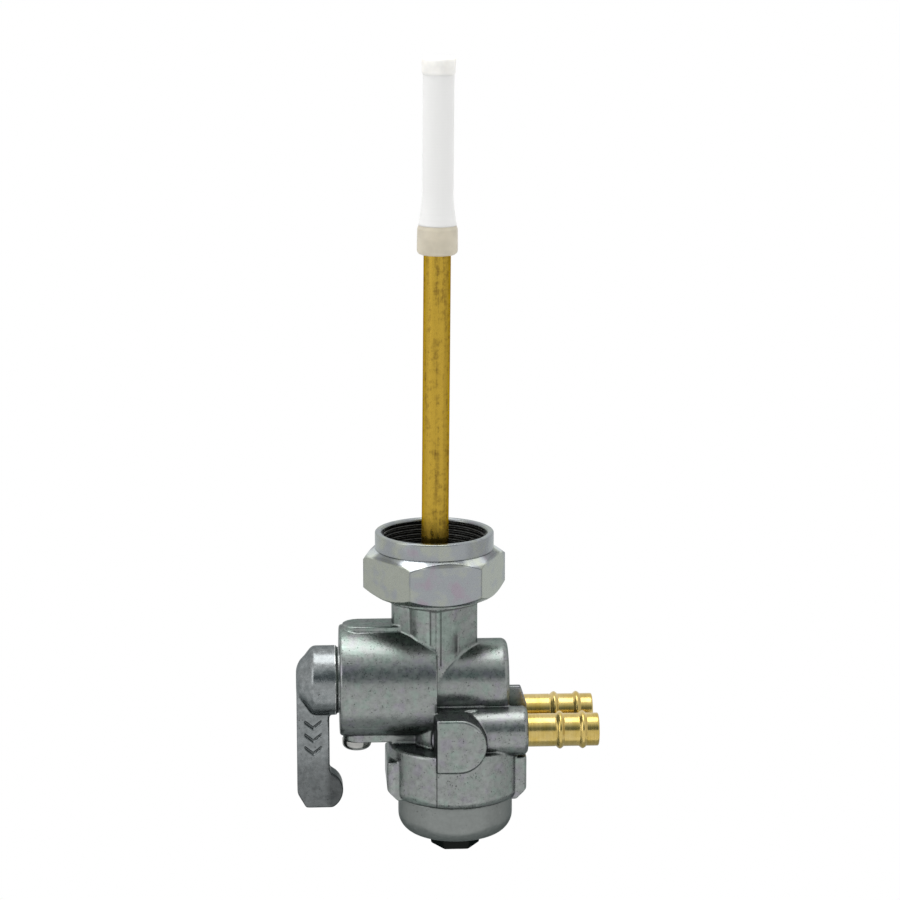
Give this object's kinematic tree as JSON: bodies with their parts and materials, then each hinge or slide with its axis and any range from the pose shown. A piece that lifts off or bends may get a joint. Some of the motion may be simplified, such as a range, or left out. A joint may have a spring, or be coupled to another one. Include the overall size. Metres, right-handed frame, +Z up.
{
  "type": "fuel tap",
  "caption": "Motorcycle fuel tap with a union nut, a standpipe strainer, a lever that turns a plug, beaded hose spigots and a screwed sediment bowl.",
  "frame": {"origin": "centre of the union nut's mouth, where the tank's threaded neck enters", "axes": "+Z up along the standpipe, +X towards the hose spigots, -Y the side from which the lever is at the left"},
  "size_m": [0.063, 0.0291, 0.1663],
  "materials": {
    "casting": "die-cast zinc alloy, blue passivated",
    "lever_casting": "die-cast zinc alloy, darker and matt",
    "bowl_casting": "die-cast zinc alloy, matt",
    "nut_plating": "turned steel, zinc plated",
    "screw_plating": "bright plated steel",
    "pipe_brass": "drawn brass, dull and streaked",
    "spigot_brass": "turned brass, polished",
    "strainer_nylon": "moulded nylon, translucent",
    "strainer_mesh": "woven nylon, translucent",
    "seal_rubber": "nitrile rubber",
    "bowl_gauze": "woven brass wire"
  },
  "bodies": {
    "body": {"valve_body": "casting", "tank_gasket": "seal_rubber", "standpipe": "pipe_brass", "filter_frame": "strainer_nylon", "filter_mesh": "strainer_mesh", "packing": "seal_rubber", "lever_screw": "screw_plating", "bowl_gauze": "bowl_gauze", "gauze_frame": "strainer_nylon", "outlet_front": "spigot_brass", "outlet_rear": "spigot_brass"},
    "nut": {"union_nut": "nut_plating"},
    "lever": {"lever": "lever_casting", "spindle_seal": "seal_rubber"},
    "bowl": {"sediment_bowl": "bowl_casting", "bowl_seal": "seal_rubber"}
  },
  "joints": [
    {"name": "union_nut_turn", "type": "hinge", "parent": "body", "child": "nut", "pos_m": [0, 0, -0.0084], "axis": [0, 0, 1], "continuous": true},
    {"name": "lever_turn", "type": "hinge", "parent": "body", "child": "lever", "pos_m": [-0.0146, 0, -0.0319], "axis": [-1, 0, 0], "range_deg": [0, 180]},
    {"name": "bowl_turn", "type": "hinge", "parent": "body", "child": "bowl", "pos_m": [0.00435, 0, -0.0566], "axis": [0, 0, -1], "range_deg": [0, 1080]}
  ]
}
